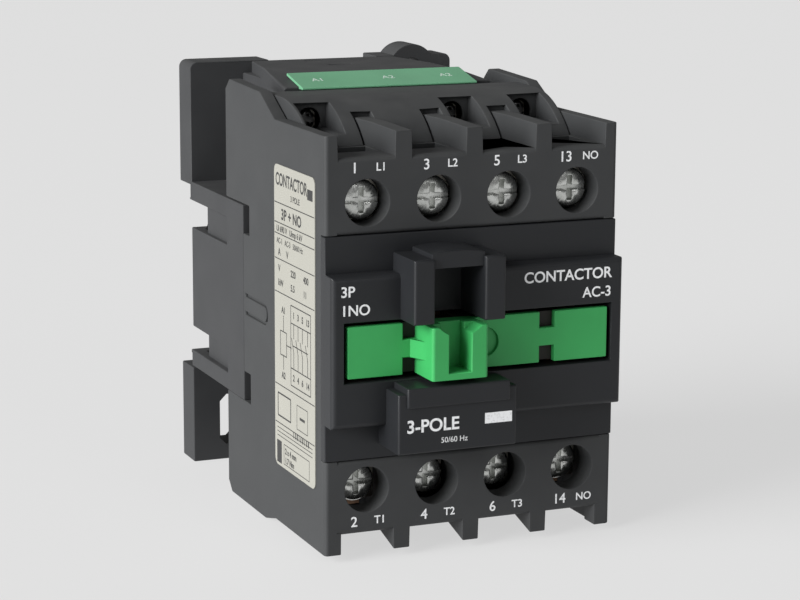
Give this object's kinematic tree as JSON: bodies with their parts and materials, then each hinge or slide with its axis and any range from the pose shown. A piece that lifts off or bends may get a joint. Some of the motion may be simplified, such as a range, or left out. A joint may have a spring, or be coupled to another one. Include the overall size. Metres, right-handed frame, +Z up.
{
  "type": "contactor",
  "caption": "Rail-mounted block contactor with two rows of screw terminals, sliding sprung contact carrier, electromagnet, front indicator bar and sprung rail clip.",
  "frame": {"origin": "middle of the front face of the 35 mm mounting rail, on the rear seat of the base", "axes": "+X to the right seen from the front, +Y from the front towards the rail, +Z up"},
  "size_m": [0.0561, 0.0908, 0.0833],
  "materials": {
    "housing_black": "fine matt",
    "cover_black": "satin",
    "base_grey": "fine matt",
    "indicator_green": "satin",
    "marker_green": "satin",
    "label_cream": "matt printed",
    "plated_steel": "bright zinc",
    "washer_steel": "zinc",
    "spring_steel": "drawn wire",
    "laminated_steel": "stacked sheet edges",
    "copper": "bare copper with silver tips",
    "tinned_brass": "bright",
    "winding_copper": "enamelled wire under tape",
    "bobbin_white": "moulded",
    "carrier_brown": "moulded thermoset",
    "pad_rubber": "soft",
    "clip_grey": "moulded"
  },
  "bodies": {
    "housing": {"front_housing": "housing_black", "middle_cover": "cover_black", "base_housing": "base_grey", "coil_cover": "housing_black", "fixed_core": "laminated_steel", "shading_rings": "copper", "core_pad": "pad_rubber", "coil_bobbin": "bobbin_white", "coil_winding": "winding_copper", "coil_terminal_a1": "tinned_brass", "coil_terminal_a2": "tinned_brass", "marker_strip": "marker_green", "side_label": "label_cream", "assembly_screws": "plated_steel", "return_spring_upper": "spring_steel", "return_spring_lower": "spring_steel", "rail_clip_spring": "spring_steel", "line_contact_1": "copper", "line_contact_2": "copper", "line_contact_3": "copper", "line_contact_4": "copper", "load_contact_1": "copper", "load_contact_2": "copper", "load_contact_3": "copper", "load_contact_4": "copper"},
    "carrier": {"contact_carrier": "carrier_brown", "indicator_bar": "indicator_green", "moving_core": "laminated_steel", "core_pin": "plated_steel", "contact_spring_1": "spring_steel", "contact_spring_2": "spring_steel", "contact_spring_3": "spring_steel", "contact_spring_4": "spring_steel"},
    "clip": {"rail_clip": "clip_grey"},
    "bridge_1": {"contact_bridge_1": "copper"},
    "bridge_2": {"contact_bridge_2": "copper"},
    "bridge_3": {"contact_bridge_3": "copper"},
    "bridge_4": {"contact_bridge_4": "copper"},
    "line_1_clamp": {"line_clamp_1": "washer_steel"},
    "line_1_screw": {"line_screw_1": "plated_steel"},
    "line_2_clamp": {"line_clamp_2": "washer_steel"},
    "line_2_screw": {"line_screw_2": "plated_steel"},
    "line_3_clamp": {"line_clamp_3": "washer_steel"},
    "line_3_screw": {"line_screw_3": "plated_steel"},
    "line_4_clamp": {"line_clamp_4": "washer_steel"},
    "line_4_screw": {"line_screw_4": "plated_steel"},
    "load_1_clamp": {"load_clamp_1": "washer_steel"},
    "load_1_screw": {"load_screw_1": "plated_steel"},
    "load_2_clamp": {"load_clamp_2": "washer_steel"},
    "load_2_screw": {"load_screw_2": "plated_steel"},
    "load_3_clamp": {"load_clamp_3": "washer_steel"},
    "load_3_screw": {"load_screw_3": "plated_steel"},
    "load_4_clamp": {"load_clamp_4": "washer_steel"},
    "load_4_screw": {"load_screw_4": "plated_steel"},
    "coil_left_clamp": {"coil_clamp_left": "washer_steel"},
    "coil_left_screw": {"coil_screw_left": "plated_steel"},
    "coil_centre_clamp": {"coil_clamp_centre": "washer_steel"},
    "coil_centre_screw": {"coil_screw_centre": "plated_steel"},
    "coil_right_clamp": {"coil_clamp_right": "washer_steel"},
    "coil_right_screw": {"coil_screw_right": "plated_steel"}
  },
  "joints": [
    {"name": "carrier_slide", "type": "slide", "parent": "housing", "child": "carrier", "axis": [0, 1, 0], "range_m": [0, 0.0054], "stiffness_N_per_m": 700, "springref_m": -0.006, "deforming": ["return_spring_upper", "return_spring_lower"]},
    {"name": "clip_slide", "type": "slide", "parent": "housing", "child": "clip", "axis": [0, 0, -1], "range_m": [0, 0.003], "stiffness_N_per_m": 1200, "springref_m": -0.003, "deforming": ["rail_clip_spring"]},
    {"name": "bridge_1_slide", "type": "slide", "parent": "carrier", "child": "bridge_1", "axis": [0, 1, 0], "range_m": [-0.00163, 0], "deforming": ["contact_spring_1"]},
    {"name": "bridge_2_slide", "type": "slide", "parent": "carrier", "child": "bridge_2", "axis": [0, 1, 0], "range_m": [-0.00163, 0], "deforming": ["contact_spring_2"]},
    {"name": "bridge_3_slide", "type": "slide", "parent": "carrier", "child": "bridge_3", "axis": [0, 1, 0], "range_m": [-0.00163, 0], "deforming": ["contact_spring_3"]},
    {"name": "bridge_4_slide", "type": "slide", "parent": "carrier", "child": "bridge_4", "axis": [0, 1, 0], "range_m": [-0.00163, 0], "deforming": ["contact_spring_4"]},
    {"name": "line_1_clamp_slide", "type": "slide", "parent": "housing", "child": "line_1_clamp", "axis": [0, 1, 0], "range_m": [0, 0.005]},
    {"name": "line_1_screw_turn", "type": "hinge", "parent": "line_1_clamp", "child": "line_1_screw", "pos_m": [-0.0201, -0.072, 0.02549], "axis": [0, 1, 0], "range_deg": [0, 2580]},
    {"name": "line_2_clamp_slide", "type": "slide", "parent": "housing", "child": "line_2_clamp", "axis": [0, 1, 0], "range_m": [0, 0.005]},
    {"name": "line_2_screw_turn", "type": "hinge", "parent": "line_2_clamp", "child": "line_2_screw", "pos_m": [-0.0067, -0.072, 0.02549], "axis": [0, 1, 0], "range_deg": [0, 2580]},
    {"name": "line_3_clamp_slide", "type": "slide", "parent": "housing", "child": "line_3_clamp", "axis": [0, 1, 0], "range_m": [0, 0.005]},
    {"name": "line_3_screw_turn", "type": "hinge", "parent": "line_3_clamp", "child": "line_3_screw", "pos_m": [0.0067, -0.072, 0.02549], "axis": [0, 1, 0], "range_deg": [0, 2580]},
    {"name": "line_4_clamp_slide", "type": "slide", "parent": "housing", "child": "line_4_clamp", "axis": [0, 1, 0], "range_m": [0, 0.005]},
    {"name": "line_4_screw_turn", "type": "hinge", "parent": "line_4_clamp", "child": "line_4_screw", "pos_m": [0.0201, -0.072, 0.02549], "axis": [0, 1, 0], "range_deg": [0, 2580]},
    {"name": "load_1_clamp_slide", "type": "slide", "parent": "housing", "child": "load_1_clamp", "axis": [0, 1, 0], "range_m": [-0.0022, 0.0028]},
    {"name": "load_1_screw_turn", "type": "hinge", "parent": "load_1_clamp", "child": "load_1_screw", "pos_m": [-0.0201, -0.0698, -0.02549], "axis": [0, 1, 0], "range_deg": [-1140, 1450]},
    {"name": "load_2_clamp_slide", "type": "slide", "parent": "housing", "child": "load_2_clamp", "axis": [0, 1, 0], "range_m": [-0.0022, 0.0028]},
    {"name": "load_2_screw_turn", "type": "hinge", "parent": "load_2_clamp", "child": "load_2_screw", "pos_m": [-0.0067, -0.0698, -0.02549], "axis": [0, 1, 0], "range_deg": [-1140, 1450]},
    {"name": "load_3_clamp_slide", "type": "slide", "parent": "housing", "child": "load_3_clamp", "axis": [0, 1, 0], "range_m": [-0.0022, 0.0028]},
    {"name": "load_3_screw_turn", "type": "hinge", "parent": "load_3_clamp", "child": "load_3_screw", "pos_m": [0.0067, -0.0698, -0.02549], "axis": [0, 1, 0], "range_deg": [-1140, 1450]},
    {"name": "load_4_clamp_slide", "type": "slide", "parent": "housing", "child": "load_4_clamp", "axis": [0, 1, 0], "range_m": [-0.0022, 0.0028]},
    {"name": "load_4_screw_turn", "type": "hinge", "parent": "load_4_clamp", "child": "load_4_screw", "pos_m": [0.0201, -0.0698, -0.02549], "axis": [0, 1, 0], "range_deg": [-1140, 1450]},
    {"name": "coil_left_clamp_slide", "type": "slide", "parent": "housing", "child": "coil_left_clamp", "axis": [0, 1, 0], "range_m": [0, 0.002]},
    {"name": "coil_left_screw_turn", "type": "hinge", "parent": "coil_left_clamp", "child": "coil_left_screw", "pos_m": [-0.0214, -0.049, 0.0368], "axis": [0, 1, 0], "range_deg": [0, 1445]},
    {"name": "coil_centre_clamp_slide", "type": "slide", "parent": "housing", "child": "coil_centre_clamp", "axis": [0, 1, 0], "range_m": [0, 0.002]},
    {"name": "coil_centre_screw_turn", "type": "hinge", "parent": "coil_centre_clamp", "child": "coil_centre_screw", "pos_m": [0.0067, -0.049, 0.0368], "axis": [0, 1, 0], "range_deg": [0, 1445]},
    {"name": "coil_right_clamp_slide", "type": "slide", "parent": "housing", "child": "coil_right_clamp", "axis": [0, 1, 0], "range_m": [0, 0.002]},
    {"name": "coil_right_screw_turn", "type": "hinge", "parent": "coil_right_clamp", "child": "coil_right_screw", "pos_m": [0.0206, -0.049, 0.0368], "axis": [0, 1, 0], "range_deg": [0, 1445]}
  ],
  "couplings": [
    {"joint": "bridge_1_slide", "follows": "carrier_slide", "ratio": -0.3},
    {"joint": "bridge_2_slide", "follows": "carrier_slide", "ratio": -0.3},
    {"joint": "bridge_3_slide", "follows": "carrier_slide", "ratio": -0.3},
    {"joint": "bridge_4_slide", "follows": "carrier_slide", "ratio": -0.3},
    {"joint": "line_1_screw_turn", "follows": "line_1_clamp_slide", "rad_per_m": 8976},
    {"joint": "line_2_screw_turn", "follows": "line_2_clamp_slide", "rad_per_m": 8976},
    {"joint": "line_3_screw_turn", "follows": "line_3_clamp_slide", "rad_per_m": 8976},
    {"joint": "line_4_screw_turn", "follows": "line_4_clamp_slide", "rad_per_m": 8976},
    {"joint": "load_1_screw_turn", "follows": "load_1_clamp_slide", "rad_per_m": 8976},
    {"joint": "load_2_screw_turn", "follows": "load_2_clamp_slide", "rad_per_m": 8976},
    {"joint": "load_3_screw_turn", "follows": "load_3_clamp_slide", "rad_per_m": 8976},
    {"joint": "load_4_screw_turn", "follows": "load_4_clamp_slide", "rad_per_m": 8976},
    {"joint": "coil_left_screw_turn", "follows": "coil_left_clamp_slide", "rad_per_m": 12566},
    {"joint": "coil_centre_screw_turn", "follows": "coil_centre_clamp_slide", "rad_per_m": 12566},
    {"joint": "coil_right_screw_turn", "follows": "coil_right_clamp_slide", "rad_per_m": 12566}
  ]
}
